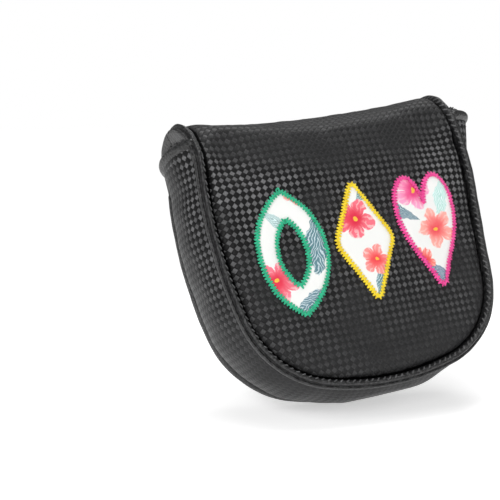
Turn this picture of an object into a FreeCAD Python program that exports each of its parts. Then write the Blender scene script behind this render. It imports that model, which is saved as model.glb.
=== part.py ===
import FreeCAD, Part
import math
import os

# Padded cover for a mallet putter head, standing upright on the curved bottom of its gusset.
# X runs heel to toe, the decorated front panel faces -Y, the tongued flap is at +Y, +Z is up.

# ---- driving dimensions, mm ----
SEAM_BOTTOM_Z = 4.9      # lowest point of the front panel's seam line
R_BOTTOM = 105.0         # seam line radius along the bottom
R_CORNER = 36.0          # seam line radius at the two lower corners
R_SIDE = 180.0           # seam line radius up the two sides
HALF_WIDTH = 56.8        # seam line half width at its widest
WIDEST_Z = 74.0          # height of that widest point
CROWN_R = 22.0           # outer radius of the crown, and half the depth of the cover
CROWN_Z = 93.5           # height of the crown's centre of curvature
RIM_RISE = 1.5           # height of the bound edges above the panels
SKIN = 1.2               # synthetic leather thickness
FIT = 0.05               # clearance between neighbouring layers
LOFT_FIT = 0.12          # the same between the gusset's doubly curved layers
FRONT_FOAM = 3.0
FRONT_FLEECE = 1.2
FLAP_FOAM = 1.95
FLAP_FLEECE = 1.1
BACK_FACE = 17.2         # y of the back panel's outer face
BACK_FOAM = 2.6
BACK_FLEECE = 1.2
GUSSET_FOAM = 1.95
GUSSET_FLEECE = 1.75
GUSSET_FRONT = -20.6     # y where the gusset meets the front seam
GUSSET_BACK = 15.8       # y where the gusset meets the back seam
GUSSET_TOP_Z = 102.0     # height where the gusset's bound top edge begins
BINDING_TOP_Z = 105.4    # top of that bound edge
FLEECE_TOP_Z = 106.8     # top of the fleece that shows above it
CROWN_HALF = 56.4        # half width of crown and flap over their bound edges
RIM_WIDTH = 3.0          # width of the crown's and flap's bound edge
SEAM_RIM = 2.6           # width of the front and back seam's bound edge
FOLD_FRONT = 20.0        # degrees above level of the fold between front panel and crown
FOLD_BACK = 25.0         # degrees above level of the fold between crown and flap
FOLD_GAP = 0.5           # degrees left free on each side of a fold
TONGUE_BOTTOM_Z = 33.2
TONGUE_CENTRE_X = 33.0
TONGUE_IN_R = 20.0
TONGUE_OUT_R = 19.0
ARCH_R = 15.6            # shaft opening: radius and centre height of its arch
ARCH_Z = 79.5
SCOOP_R = 29.0           # scooped top edge of the back panel
SCOOP_Z = 90.4
SHOULDER_R = 5.9
SCOOP_BINDING = 3.5
MAGNET_R = 6.0
MAGNET_T = 1.6
MAGNET_X = 34.0
MAGNET_Z = 48.0
EMBLEM_T = 0.7
BORDER_T = 1.3
BORDER_W = 2.2
TIP_TRIM = 4.2           # border widths lost from an emblem's height, as its tips are pointed
EYE_RING = 7.0           # how much narrower the leaf's eye is than its cloth
EYE_TRIM = 16.0          # how much shorter
EYE_TIP_TRIM = 4.0       # further height lost inside the eye's own border
PANEL_INSET = 0.6        # front panel's edge inside the seam line
BACK_INSET = 0.2         # the same for the back panel
PAD_INSET = 6.6          # foam and fleece of both panels stop this far inside the seam line
PAD_HALF = 48.6          # half width of the crown's foam and fleece
OUTLINE_TOP_Z = 112.0    # panel outlines run on to here before the folds trim them
BACK_TOP_Z = 101.0
FRONT_RIM_TOP_Z = 99.8
BACK_RIM_TOP_Z = 96.3
BACK_RIM_PROUD = 2.0
EDGE_GAP = 0.2           # crown's and flap's leather stop this far short of their bound edges
PAD_GAP = 0.6            # the flap's foam and fleece stop this far short
CROWN_RIM_DEPTH = 1.0    # how far the crown's bound edges reach below its surface
FLAP_RIM_DEPTH = 2.3
HEM_PROUD = 0.5          # how far the gusset's top hem stands out from its leather
HEM_SHORT = 0.1
CORNER_CLEAR = 4.5       # gusset's fleece keeps this far from both seams above CORNER_CLEAR_Z
CORNER_CLEAR_Z = 98.5
HEM_TURN = 1.1           # depth of the scoop hem that turns in over the foam
HEM_SINK = 0.1
SCOOP_FLEECE_RISE = 1.4  # how far the back fleece shows above the scooped edge

os.makedirs("parts", exist_ok=True)


def save(name, shape):
    shape = shape.removeSplitter()
    shape.exportStep("parts/" + name + ".step")


def vec(x, z, y=0.0):
    return FreeCAD.Vector(x, y, z)


def circle_meet(c1, r1, c2, r2):
    """Right-hand, lower meeting point of two circles in the XZ plane."""
    dx = c2[0] - c1[0]
    dz = c2[1] - c1[1]
    d = math.hypot(dx, dz)
    a = (r1 * r1 - r2 * r2 + d * d) / (2 * d)
    h = math.sqrt(r1 * r1 - a * a)
    px = c1[0] + a * dx / d
    pz = c1[1] + a * dz / d
    one = (px + h * dz / d, pz - h * dx / d)
    two = (px - h * dz / d, pz + h * dx / d)
    return one if one[1] < two[1] else two


C_BOTTOM = (0.0, SEAM_BOTTOM_Z + R_BOTTOM)
C_SIDE = (HALF_WIDTH - R_SIDE, WIDEST_Z)
C_CORNER = circle_meet(C_BOTTOM, R_BOTTOM - R_CORNER, C_SIDE, R_SIDE - R_CORNER)
A_LOW = math.atan2(C_CORNER[1] - C_BOTTOM[1], C_CORNER[0] - C_BOTTOM[0])
A_HIGH = math.atan2(C_CORNER[1] - C_SIDE[1], C_CORNER[0] - C_SIDE[0])


def on(centre, r, angle):
    return (centre[0] + r * math.cos(angle), centre[1] + r * math.sin(angle))


def side_angle(z, d=0.0):
    return math.asin((z - C_SIDE[1]) / (R_SIDE + d))


def arc3(a, b, c):
    return Part.Arc(vec(*a), vec(*b), vec(*c)).toShape()


def mirror(p):
    return (-p[0], p[1])


def seam_face(d, top):
    """Outline of the cover seen from the front, grown by d and cut off level at height top."""
    s0 = on(C_SIDE, R_SIDE + d, side_angle(top, d))
    s1 = on(C_SIDE, R_SIDE + d, (side_angle(top, d) + A_HIGH) / 2)
    s2 = on(C_CORNER, R_CORNER + d, A_HIGH)
    s3 = on(C_CORNER, R_CORNER + d, (A_HIGH + A_LOW) / 2)
    s4 = on(C_CORNER, R_CORNER + d, A_LOW)
    s5 = on(C_BOTTOM, R_BOTTOM + d, -math.pi / 2)
    edges = [
        arc3(s0, s1, s2),
        arc3(s2, s3, s4),
        arc3(s4, s5, mirror(s4)),
        arc3(mirror(s4), mirror(s3), mirror(s2)),
        arc3(mirror(s2), mirror(s1), mirror(s0)),
        Part.makeLine(vec(*mirror(s0)), vec(*s0)),
    ]
    return Part.Face(Part.Wire(edges))


def prism(face, y0, y1):
    moved = face.copy()
    moved.translate(FreeCAD.Vector(0, y0, 0))
    return moved.extrude(FreeCAD.Vector(0, y1 - y0, 0))


def slab(x, y0, y1, z0, z1):
    return Part.makeBox(2 * x, y1 - y0, z1 - z0, FreeCAD.Vector(-x, y0, z0))


def tube_x(r, x=70.0):
    return Part.makeCylinder(r, 2 * x, FreeCAD.Vector(-x, 0, CROWN_Z), FreeCAD.Vector(1, 0, 0))


def wrap(r_out, r_in):
    """Layer that runs up the front, over the crown and down the back."""
    upper = tube_x(r_out).cut(tube_x(r_in)).common(slab(80, -40, 40, CROWN_Z, 140))
    front = slab(70, -r_out, -r_in, -5, CROWN_Z)
    back = slab(70, r_in, r_out, -5, CROWN_Z)
    return upper.fuse([front, back]).removeSplitter()


def ray(angle_deg, r=80.0):
    a = math.radians(angle_deg)
    return FreeCAD.Vector(-75, r * math.cos(a), CROWN_Z + r * math.sin(a))


def sector(points):
    return Part.Face(Part.makePolygon(points + [points[0]])).extrude(FreeCAD.Vector(150, 0, 0))


HUB = FreeCAD.Vector(-75, 0, CROWN_Z)
ABOVE = FreeCAD.Vector(-75, 0, CROWN_Z + 80)
ZONE_CROWN = sector([HUB, ray(FOLD_BACK + FOLD_GAP), ray(90, 110), ray(180 - FOLD_FRONT - FOLD_GAP)])
ZONE_FRONT = sector([HUB, ray(180 - FOLD_FRONT + FOLD_GAP), FreeCAD.Vector(-75, -90, -20),
                     FreeCAD.Vector(-75, 0, -20)])
ZONE_FLAP = sector([HUB, ray(FOLD_BACK - FOLD_GAP), FreeCAD.Vector(-75, 90, -20),
                    FreeCAD.Vector(-75, 0, -20)])


def flap_face(d):
    """Outline of the flap with its two tongues and the arch between them, shrunk by d."""
    half = CROWN_HALF - d
    bottom = TONGUE_BOTTOM_Z + d
    cx = TONGUE_CENTRE_X
    low = (cx, TONGUE_BOTTOM_Z + TONGUE_OUT_R)
    turn = math.radians(-30)
    p1 = on(low, TONGUE_OUT_R - d, turn)
    reach = (CROWN_HALF - cx - TONGUE_OUT_R * math.cos(turn)) / (1 - math.cos(turn))
    big = (CROWN_HALF - reach, low[1] + TONGUE_OUT_R * math.sin(turn) - reach * math.sin(turn))
    p0 = (half, big[1])
    pm0 = on(big, reach - d, turn / 2)
    pm1 = on(low, TONGUE_OUT_R - d, math.radians(-60))
    p2 = (cx, bottom)
    inner = (cx, TONGUE_BOTTOM_Z + TONGUE_IN_R)
    p3 = on(inner, TONGUE_IN_R - d, math.radians(180))
    pm2 = on(inner, TONGUE_IN_R - d, math.radians(225))
    p4 = (ARCH_R + d, ARCH_Z)
    top = (0.0, ARCH_Z + ARCH_R + d)
    edges = [
        Part.makeLine(vec(half, OUTLINE_TOP_Z), vec(*p0)),
        arc3(p0, pm0, p1),
        arc3(p1, pm1, p2),
        arc3(p2, pm2, p3),
        Part.makeLine(vec(*p3), vec(*p4)),
        arc3(p4, top, mirror(p4)),
        Part.makeLine(vec(*mirror(p4)), vec(*mirror(p3))),
        arc3(mirror(p3), mirror(pm2), mirror(p2)),
        arc3(mirror(p2), mirror(pm1), mirror(p1)),
        arc3(mirror(p1), mirror(pm0), mirror(p0)),
        Part.makeLine(vec(*mirror(p0)), vec(-half, OUTLINE_TOP_Z)),
        Part.makeLine(vec(-half, OUTLINE_TOP_Z), vec(half, OUTLINE_TOP_Z)),
    ]
    return Part.Face(Part.Wire(edges))


def scoop_face(d):
    """Region above the back panel's scooped top edge, grown by d."""
    r = SCOOP_R + d
    s = SHOULDER_R - d
    sx = SCOOP_R + SHOULDER_R
    top = SCOOP_Z + SHOULDER_R - d
    k = math.sqrt(0.5)
    edges = [
        arc3((r, SCOOP_Z), (0, SCOOP_Z - r), (-r, SCOOP_Z)),
        arc3((-r, SCOOP_Z), (-sx + s * k, SCOOP_Z + s * k), (-sx, top)),
        Part.makeLine(vec(-sx, top), vec(-80, top)),
        Part.makeLine(vec(-80, top), vec(-80, 130)),
        Part.makeLine(vec(-80, 130), vec(80, 130)),
        Part.makeLine(vec(80, 130), vec(80, top)),
        Part.makeLine(vec(80, top), vec(sx, top)),
        arc3((sx, top), (sx - s * k, SCOOP_Z + s * k), (r, SCOOP_Z)),
    ]
    return Part.Face(Part.Wire(edges))


def bulge(z):
    """How far the gusset's middle stands out from the seam line at seam height z."""
    table = [(4.9, 5.7), (8, 5.4), (12, 5.0), (20, 5.0), (35, 5.8), (77, 6.6), (90, 8.2), (104, 12.0)]
    for (za, ba), (zb, bb) in zip(table, table[1:]):
        if z <= zb:
            return ba + (bb - ba) * max(0.0, z - za) / (zb - za)
    return table[-1][1]


def gusset_section(x, z, nx, nz, t0, t1):
    """Curved strip across the gusset between depths t0 and t1, at one station of the seam line."""
    mid_y = (GUSSET_FRONT + GUSSET_BACK) / 2

    def at(off, y):
        return FreeCAD.Vector(x + nx * off, y, z + nz * off)

    a0 = at(0.5 - 1.3 * t0, GUSSET_FRONT)
    a1 = at(bulge(z) - t0, mid_y)
    a2 = at(0.5 - 1.3 * t0, GUSSET_BACK)
    b0 = at(0.5 - 1.3 * t1, GUSSET_FRONT)
    b1 = at(bulge(z) - t1, mid_y)
    b2 = at(0.5 - 1.3 * t1, GUSSET_BACK)
    return Part.Wire([
        Part.Arc(a0, a1, a2).toShape(),
        Part.makeLine(a2, b2),
        Part.Arc(b2, b1, b0).toShape(),
        Part.makeLine(b0, a0),
    ])


def stations(top):
    """Points and outward directions along the toe half of the seam line, top to bottom."""
    right = []
    for f in (0.0, 0.1, 0.2, 0.3, 0.4, 0.55, 0.7, 0.85, 1.0):
        a = side_angle(top) + (A_HIGH - side_angle(top)) * f
        right.append((C_SIDE, R_SIDE, a))
    for f in (0.2, 0.4, 0.6, 0.8, 1.0):
        right.append((C_CORNER, R_CORNER, A_HIGH + (A_LOW - A_HIGH) * f))
    for f in (0.33, 0.67):
        right.append((C_BOTTOM, R_BOTTOM, A_LOW + (-math.pi / 2 - A_LOW) * f))
    out = []
    for c, r, a in right:
        p = on(c, r, a)
        out.append((p[0], p[1], math.cos(a), math.sin(a)))
    out.append((0.0, SEAM_BOTTOM_Z, 0.0, -1.0))
    return out


def heel_side(shape):
    return shape.mirror(FreeCAD.Vector(0, 0, 0), FreeCAD.Vector(1, 0, 0))


def gusset_layer(t0, t1, top):
    wires = [gusset_section(x, z, nx, nz, t0, t1) for x, z, nx, nz in stations(top)]
    toe = Part.makeLoft(wires, True, False)
    return toe.fuse(heel_side(toe)).removeSplitter()


def gusset_hem(z0, z1, t0, t1):
    wires = []
    for z in (z0, z1):
        a = side_angle(z)
        p = on(C_SIDE, R_SIDE, a)
        wires.append(gusset_section(p[0], p[1], math.cos(a), math.sin(a), t0, t1))
    return Part.makeLoft(wires, True, True)


# ---- front panel: printed emblems sit on it, foam and fleece lie behind it ----
r1 = CROWN_R - SKIN
r2 = r1 - FIT
r3 = r2 - FRONT_FOAM
r4 = r3 - FIT
r5 = r4 - FRONT_FLEECE
front_outer = wrap(CROWN_R, r1).common(prism(seam_face(-PANEL_INSET, OUTLINE_TOP_Z), -40, 0)).common(ZONE_FRONT)
save("front_outer_panel", front_outer)
front_pad = prism(seam_face(-PAD_INSET, OUTLINE_TOP_Z), -40, 0).common(ZONE_FRONT)
save("front_foam_pad", wrap(r2, r3).common(front_pad))
save("front_lining", wrap(r4, r5).common(front_pad))

# ---- gusset round the sides and bottom ----
g1 = SKIN + LOFT_FIT
g2 = g1 + GUSSET_FOAM
g3 = g2 + LOFT_FIT
g4 = g3 + GUSSET_FLEECE
under_crown = tube_x(r1 - 0.15).fuse(slab(80, -60, 60, -10, CROWN_Z))
floor_cut = slab(90, -60, 60, -10, 0)
save("gusset_outer", gusset_layer(0, SKIN, GUSSET_TOP_Z).cut(floor_cut).common(under_crown))
save("gusset_foam", gusset_layer(g1, g2, GUSSET_TOP_Z).common(under_crown))
peek_toe = gusset_hem(GUSSET_TOP_Z, FLEECE_TOP_Z, g3, g4)
fleece = gusset_layer(g3, g4, GUSSET_TOP_Z).fuse([peek_toe, heel_side(peek_toe)])
fleece = fleece.cut(slab(90, -40, GUSSET_FRONT + CORNER_CLEAR, CORNER_CLEAR_Z, 120))
fleece = fleece.cut(slab(90, GUSSET_BACK - CORNER_CLEAR, 40, CORNER_CLEAR_Z, 120))
save("gusset_lining", fleece.common(under_crown))
hem_toe = gusset_hem(GUSSET_TOP_Z + FIT, BINDING_TOP_Z, -HEM_PROUD, g2 - HEM_SHORT)
hem_toe = hem_toe.common(under_crown)
save("gusset_top_binding_toe", hem_toe)
save("gusset_top_binding_heel", heel_side(hem_toe))

# ---- bound seams joining gusset to front and back panels ----
seam_area = seam_face(0, OUTLINE_TOP_Z)
front_rim = seam_face(SEAM_RIM, FRONT_RIM_TOP_Z).cut(seam_area)
save("front_seam_binding", prism(front_rim, -CROWN_R - RIM_RISE, GUSSET_FRONT - FIT))
back_rim = seam_face(SEAM_RIM, BACK_RIM_TOP_Z).cut(seam_area)
save("back_seam_binding", prism(back_rim, GUSSET_BACK + FIT, BACK_FACE + BACK_RIM_PROUD))

# ---- back panel with scooped, bound top edge ----
b1 = BACK_FACE - SKIN
b2 = b1 - FIT
b3 = b2 - BACK_FOAM
b4 = b3 - FIT
b5 = b4 - BACK_FLEECE
back_area = seam_face(-BACK_INSET, BACK_TOP_Z)
back_inner = seam_face(-PAD_INSET, BACK_TOP_Z)
save("back_outer_panel", prism(back_area.cut(scoop_face(SCOOP_BINDING + FIT)), b1, BACK_FACE))
magnet_y = (b2 + b3) / 2
back_pad = prism(back_inner.cut(scoop_face(SCOOP_BINDING + FIT)), b3, b2)
flap_r2 = r1 - FIT
flap_r3 = flap_r2 - FLAP_FOAM
flap_r4 = flap_r3 - FIT
flap_r5 = flap_r4 - FLAP_FLEECE
flap_magnet_y = (flap_r2 + flap_r3) / 2


def disc(x, y_mid, r, t):
    base = FreeCAD.Vector(x, y_mid - t / 2, MAGNET_Z)
    return Part.makeCylinder(r, t, base, FreeCAD.Vector(0, 1, 0))


for side, word in ((-1, "heel"), (1, "toe")):
    x = side * MAGNET_X
    save("back_magnet_" + word, disc(x, magnet_y, MAGNET_R, MAGNET_T))
    save("flap_magnet_" + word, disc(x, flap_magnet_y, MAGNET_R, MAGNET_T))
    back_pad = back_pad.cut(disc(x, magnet_y, MAGNET_R + FIT, 5.0))
save("back_foam_pad", back_pad)
save("back_lining", prism(back_inner.cut(scoop_face(-SCOOP_FLEECE_RISE)), b5, b4))
hem = back_area.cut(scoop_face(0)).common(scoop_face(SCOOP_BINDING))
hem_turned = back_inner.cut(scoop_face(0)).common(scoop_face(SCOOP_BINDING))
hem = prism(hem, b1, BACK_FACE - HEM_SINK)
save("back_top_binding", hem.fuse(prism(hem_turned, b1 - HEM_TURN, b1)))

# ---- crown ----
inner = CROWN_HALF - RIM_WIDTH
crown_area = slab(inner - EDGE_GAP, -40, 40, 80, 130).common(ZONE_CROWN)
crown_pad = slab(PAD_HALF, -40, 40, 80, 130).common(ZONE_CROWN)
save("crown_outer", wrap(CROWN_R, r1).common(crown_area))
save("crown_foam", wrap(flap_r2, flap_r3).common(crown_pad))
save("crown_lining", wrap(flap_r4, flap_r5).common(crown_pad))
crown_rim = wrap(CROWN_R + RIM_RISE, CROWN_R - CROWN_RIM_DEPTH).common(ZONE_CROWN)
for side, word in ((-1, "heel"), (1, "toe")):
    x0 = -CROWN_HALF if side < 0 else inner
    strip = Part.makeBox(RIM_WIDTH, 80, 60, FreeCAD.Vector(x0, -40, 80))
    save("crown_edge_binding_" + word, crown_rim.common(strip))

# ---- flap with two tongues ----
flap_area = prism(flap_face(RIM_WIDTH + EDGE_GAP), 0, 40).common(ZONE_FLAP)
pad_area = prism(flap_face(RIM_WIDTH + PAD_GAP), 0, 40).common(ZONE_FLAP)
rim_area = prism(flap_face(0).cut(flap_face(RIM_WIDTH)), 0, 40).common(ZONE_FLAP)
save("flap_outer", wrap(CROWN_R, r1).common(flap_area))
flap_pad = wrap(flap_r2, flap_r3).common(pad_area)
for side in (-1, 1):
    flap_pad = flap_pad.cut(disc(side * MAGNET_X, flap_magnet_y, MAGNET_R + FIT, 5.0))
save("flap_foam", flap_pad)
save("flap_lining", wrap(flap_r4, flap_r5).common(pad_area))
save("flap_edge_binding", wrap(CROWN_R + RIM_RISE, CROWN_R - FLAP_RIM_DEPTH).common(rim_area))


# ---- three upright emblems of printed cloth, each inside a satin-stitched border ----
def leaf(cx, cz, w, h):
    """Pointed oval made of two arcs."""
    tip = (cx, cz + h / 2)
    tail = (cx, cz - h / 2)
    return Part.Face(Part.Wire([arc3(tip, (cx + w / 2, cz), tail), arc3(tail, (cx - w / 2, cz), tip)]))


def diamond(cx, cz, w, h):
    points = [vec(cx, cz + h / 2), vec(cx + w / 2, cz), vec(cx, cz - h / 2), vec(cx - w / 2, cz)]
    return Part.Face(Part.makePolygon(points + [points[0]]))


def heart(cx, cz, w, h):
    q = w / 4
    top = cz + h / 2 - q
    tail = (cx, cz - h / 2)
    edges = [
        arc3((cx, top), (cx + q, top + q), (cx + 2 * q, top)),
        arc3((cx + 2 * q, top), (cx + 1.55 * q, cz - h * 0.08), tail),
        arc3(tail, (cx - 1.55 * q, cz - h * 0.08), (cx - 2 * q, top)),
        arc3((cx - 2 * q, top), (cx - q, top + q), (cx, top)),
    ]
    return Part.Face(Part.Wire(edges))


EMBLEMS = (
    ("leaf", leaf, -29.5, 57.0, 29.0, 50.0, True),
    ("diamond", diamond, 0.5, 57.3, 27.0, 50.0, False),
    ("heart", heart, 30.0, 57.8, 28.0, 47.0, False),
)
for word, shape, cx, cz, w, h, hollow in EMBLEMS:
    whole = shape(cx, cz, w, h)
    k = BORDER_W
    inside = (w - 2 * k, h - TIP_TRIM * k)
    cloth = shape(cx, cz, *inside)
    border = whole.cut(cloth)
    if hollow:
        eye = (inside[0] - EYE_RING, inside[1] - EYE_TRIM)
        eye_out = shape(cx, cz, *eye)
        eye_in = shape(cx, cz, eye[0] - k, eye[1] - EYE_TIP_TRIM)
        cloth = cloth.cut(eye_out)
        border = border.fuse(eye_out.cut(eye_in))
    front = -CROWN_R
    save("emblem_cloth_" + word, prism(cloth, front - EMBLEM_T, front))
    save("emblem_border_" + word, prism(border, front - BORDER_T, front))
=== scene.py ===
import math

import bpy
import numpy as np
from mathutils import Matrix, Vector, geometry
from mathutils.bvhtree import BVHTree

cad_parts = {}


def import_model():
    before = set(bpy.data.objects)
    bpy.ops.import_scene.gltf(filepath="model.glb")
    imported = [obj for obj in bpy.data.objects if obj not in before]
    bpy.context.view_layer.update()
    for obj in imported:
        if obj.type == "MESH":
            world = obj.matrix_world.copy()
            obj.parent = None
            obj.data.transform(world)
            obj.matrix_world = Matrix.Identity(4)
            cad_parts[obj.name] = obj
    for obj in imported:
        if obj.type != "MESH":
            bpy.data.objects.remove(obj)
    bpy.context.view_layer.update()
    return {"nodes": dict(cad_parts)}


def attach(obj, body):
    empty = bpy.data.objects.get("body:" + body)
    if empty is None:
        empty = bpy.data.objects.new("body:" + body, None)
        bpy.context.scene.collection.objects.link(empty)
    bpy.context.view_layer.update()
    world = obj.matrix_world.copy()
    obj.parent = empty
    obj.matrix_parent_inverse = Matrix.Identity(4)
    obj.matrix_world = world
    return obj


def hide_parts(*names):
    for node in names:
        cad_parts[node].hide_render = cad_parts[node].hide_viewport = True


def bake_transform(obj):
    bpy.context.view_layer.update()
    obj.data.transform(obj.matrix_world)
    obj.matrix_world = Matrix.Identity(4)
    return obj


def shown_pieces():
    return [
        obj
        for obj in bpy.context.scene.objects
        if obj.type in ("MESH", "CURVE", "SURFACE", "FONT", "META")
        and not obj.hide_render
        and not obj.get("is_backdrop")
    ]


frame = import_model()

MM = 0.001
rng = np.random.default_rng(7)

# ---- the cover's driving sizes, in millimetres in the row frame ----
SEAM_BOTTOM_Z = 4.9
R_BOTTOM = 105.0
R_CORNER = 36.0
R_SIDE = 180.0
HALF_WIDTH = 56.8
WIDEST_Z = 74.0
CROWN_R = 22.0
CROWN_Z = 93.5
GROOVE_HALF = 53.2          # half width of crown and flap between their bound edges
GUSSET_FRONT = -20.6
GUSSET_BACK = 15.8
BACK_FACE = 17.2
ARCH_R = 15.6
ARCH_Z = 79.5
TONGUE_BOTTOM_Z = 33.2
TONGUE_X = 33.0
SCOOP_R = 29.0
SCOOP_Z = 90.4
SHOULDER_R = 5.9
HEM_TOP_Z = 103.4           # bound top edge of the gusset
WEAVE_TILE = 1.86           # side of one embossed tile
RIDGES = 4                  # fine ridges on each tile
RIM_WIDTH = 3.2             # from the edge of crown or flap to its groove
TONGUE_OUT_R = 19.0         # the tongue's end, outer part
TONGUE_IN_R = 20.0          # the tongue's end, towards the arch
BULGE_Z = (4.9, 8, 12, 20, 35, 77, 90, 104)
BULGE = (5.7, 5.4, 5.0, 5.0, 5.8, 6.6, 8.2, 12.0)     # how far the gusset stands out at those heights
TOE_FLARE, HEEL_FLARE = 5.0, -3.5                     # what its upper ends add to that
SEAM_CENTRE_Z = 60.0        # a height from which the seam is outward all round
FRONT_RIM_TOP_Z = 101.0     # where the binding of the front seam ends, under the crown's
BACK_RIM_TOP_Z = 96.0
FRONT_INSET, FLAP_INSET = 0.5, 0.2                    # panels' edges, inside their seams
FLEECE_INSET = 4.5          # the lining's edge, inside the same seams
BACK_FLEECE_Y = 12.6
WAIST_IN, FOOT_IN = 3.0, 2.4                          # how the empty cover slumps: toe side, foot
CROWN_OUT, CROWN_UP, TOE_UP = 2.4, 1.3, 1.2           # and how its crown spreads and rises
APEX = CROWN_Z + CROWN_R * math.pi / 2       # length along the panel from z = 0 to the top of the crown
OVER = CROWN_Z + CROWN_R * math.pi           # the same, to where the flap turns straight down
PAST_APEX = 40.0            # an outline for edge distances runs on so far, as the sheets join at the apex


# ---- lines of the pattern ----
def circle_meet(c1, r1, c2, r2):
    d = math.hypot(c2[0] - c1[0], c2[1] - c1[1])
    a = (r1 * r1 - r2 * r2 + d * d) / (2 * d)
    h = math.sqrt(r1 * r1 - a * a)
    ux, uz = (c2[0] - c1[0]) / d, (c2[1] - c1[1]) / d
    px, pz = c1[0] + a * ux, c1[1] + a * uz
    return min((px + h * uz, pz - h * ux), (px - h * uz, pz + h * ux), key=lambda p: p[1])


C_BOTTOM = (0.0, SEAM_BOTTOM_Z + R_BOTTOM)
C_SIDE = (HALF_WIDTH - R_SIDE, WIDEST_Z)
C_CORNER = circle_meet(C_BOTTOM, R_BOTTOM - R_CORNER, C_SIDE, R_SIDE - R_CORNER)
A_LOW = math.atan2(C_CORNER[1] - C_BOTTOM[1], C_CORNER[0] - C_BOTTOM[0])
A_HIGH = math.atan2(C_CORNER[1] - C_SIDE[1], C_CORNER[0] - C_SIDE[0])


def arc(centre, r, a0, a1, step=1.5):
    n = max(2, int(abs(a1 - a0) * r / step) + 1)
    a = np.linspace(a0, a1, n)
    return np.stack([centre[0] + r * np.cos(a), centre[1] + r * np.sin(a)], 1)


def chain(*parts):
    points = np.vstack(parts)
    keep = np.ones(len(points), bool)
    keep[1:] = np.linalg.norm(np.diff(points, axis=0), axis=1) > 1e-4
    return points[keep]


def run_length(points):
    """Length along a line, up to each of its points."""
    return np.concatenate([[0], np.cumsum(np.linalg.norm(np.diff(points, axis=0), axis=1))])


def resample(points, step, closed=False):
    """The same line with evenly spaced points."""
    p = np.vstack([points, points[:1]]) if closed else points
    s = run_length(p)
    n = max(3, int(round(s[-1] / step)) + 1)
    t = np.linspace(0, s[-1], n)
    out = np.stack([np.interp(t, s, p[:, k]) for k in range(p.shape[1])], 1)
    return out[:-1] if closed else out


def seam_half(d, top):
    """Right half of the seam line grown by d, from height top down to the bottom centre."""
    a = math.asin((top - C_SIDE[1]) / (R_SIDE + d))
    return chain(
        arc(C_SIDE, R_SIDE + d, a, A_HIGH),
        arc(C_CORNER, R_CORNER + d, A_HIGH, A_LOW),
        arc(C_BOTTOM, R_BOTTOM + d, A_LOW, -math.pi / 2),
    )


def mirrored(half):
    """A half line from the toe side to the middle, carried on to the heel side."""
    return chain(half, (half * [-1, 1])[::-1])


def seam_line(d, top):
    return mirrored(seam_half(d, top))


def tongue_half(d):
    """Toe half of the flap's free edge, shrunk by d: from the side, round the tongue, to the arch's top."""
    edge = GROOVE_HALF + RIM_WIDTH
    turn = math.radians(-30)
    low = (TONGUE_X, TONGUE_BOTTOM_Z + TONGUE_OUT_R)
    reach = (edge - TONGUE_X - TONGUE_OUT_R * math.cos(turn)) / (1 - math.cos(turn))
    big = (edge - reach, low[1] + (TONGUE_OUT_R - reach) * math.sin(turn))
    inner = (TONGUE_X, TONGUE_BOTTOM_Z + TONGUE_IN_R)
    return chain(
        np.array([[edge - d, CROWN_Z], [edge - d, big[1]]]),
        arc(big, reach - d, 0, turn),
        arc(low, TONGUE_OUT_R - d, turn, -math.pi / 2),
        arc(inner, TONGUE_IN_R - d, -math.pi / 2, -math.pi),
        arc((0, ARCH_Z), ARCH_R + d, 0, math.pi / 2),
    )


def scoop_half(d):
    """Toe half of the back panel's top edge, lowered by d, from the shoulder to the middle."""
    sx = SCOOP_R + SHOULDER_R
    return chain(
        arc((sx, SCOOP_Z), SHOULDER_R - d, math.pi / 2, math.pi),
        arc((0, SCOOP_Z), SCOOP_R + d, 0, -math.pi / 2),
    )


# ---- the surfaces that the pattern is laid on ----
def wrapped(x, s, h):
    """
    Front, crown and back as one sheet: x across, s along it from the bottom, h out from the
    crown's radius.
    """
    r = CROWN_R + h
    angle = np.clip((s - CROWN_Z) / CROWN_R, 0, math.pi)
    z = np.where(s > OVER, CROWN_Z - (s - OVER), np.minimum(s, CROWN_Z))
    return np.stack([x, -r * np.cos(angle), z + r * np.sin(angle)], -1)


def wrap_normal(s):
    angle = np.clip((s - CROWN_Z) / CROWN_R, 0, math.pi)
    return np.stack([np.zeros_like(angle), -np.cos(angle), np.sin(angle)], -1)


def smooth(t):
    t = np.clip(t, 0, 1)
    return t * t * (3 - 2 * t)


def edge_distance(p, line):
    """Distance of each point to a closed line."""
    a = line
    b = np.roll(line, -1, axis=0)
    ab = b - a
    out = np.full(len(p), 1e9)
    for i in range(0, len(p), 4000):
        q = p[i:i + 4000]
        aq = q[:, None] - a[None]
        t = np.clip((aq * ab).sum(2) / np.maximum((ab * ab).sum(1), 1e-12), 0, 1)
        out[i:i + 4000] = np.sqrt(((aq - t[..., None] * ab) ** 2).sum(2)).min(1)
    return out


def inside(p, line):
    a = line
    b = np.roll(line, -1, axis=0)
    x, y = p[:, :1], p[:, 1:2]
    cross = (a[:, 1] > y) != (b[:, 1] > y)
    dy = np.where(np.abs(b[:, 1] - a[:, 1]) < 1e-12, 1e-12, b[:, 1] - a[:, 1])
    return (cross & (x < (b[:, 0] - a[:, 0]) * (y - a[:, 1]) / dy + a[:, 0])).sum(1) % 2 == 1


def unit(v):
    return v / np.maximum(np.linalg.norm(v, axis=-1, keepdims=True), 1e-9)


def outward_normals(line):
    """Unit normals of a closed line, away from what it encloses."""
    t = np.roll(line, -1, axis=0) - np.roll(line, 1, axis=0)
    n = unit(np.stack([t[:, 1], -t[:, 0]], 1))
    return -n if inside(line[:40] + n[:40] * 0.02, line).mean() > 0.5 else n


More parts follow.
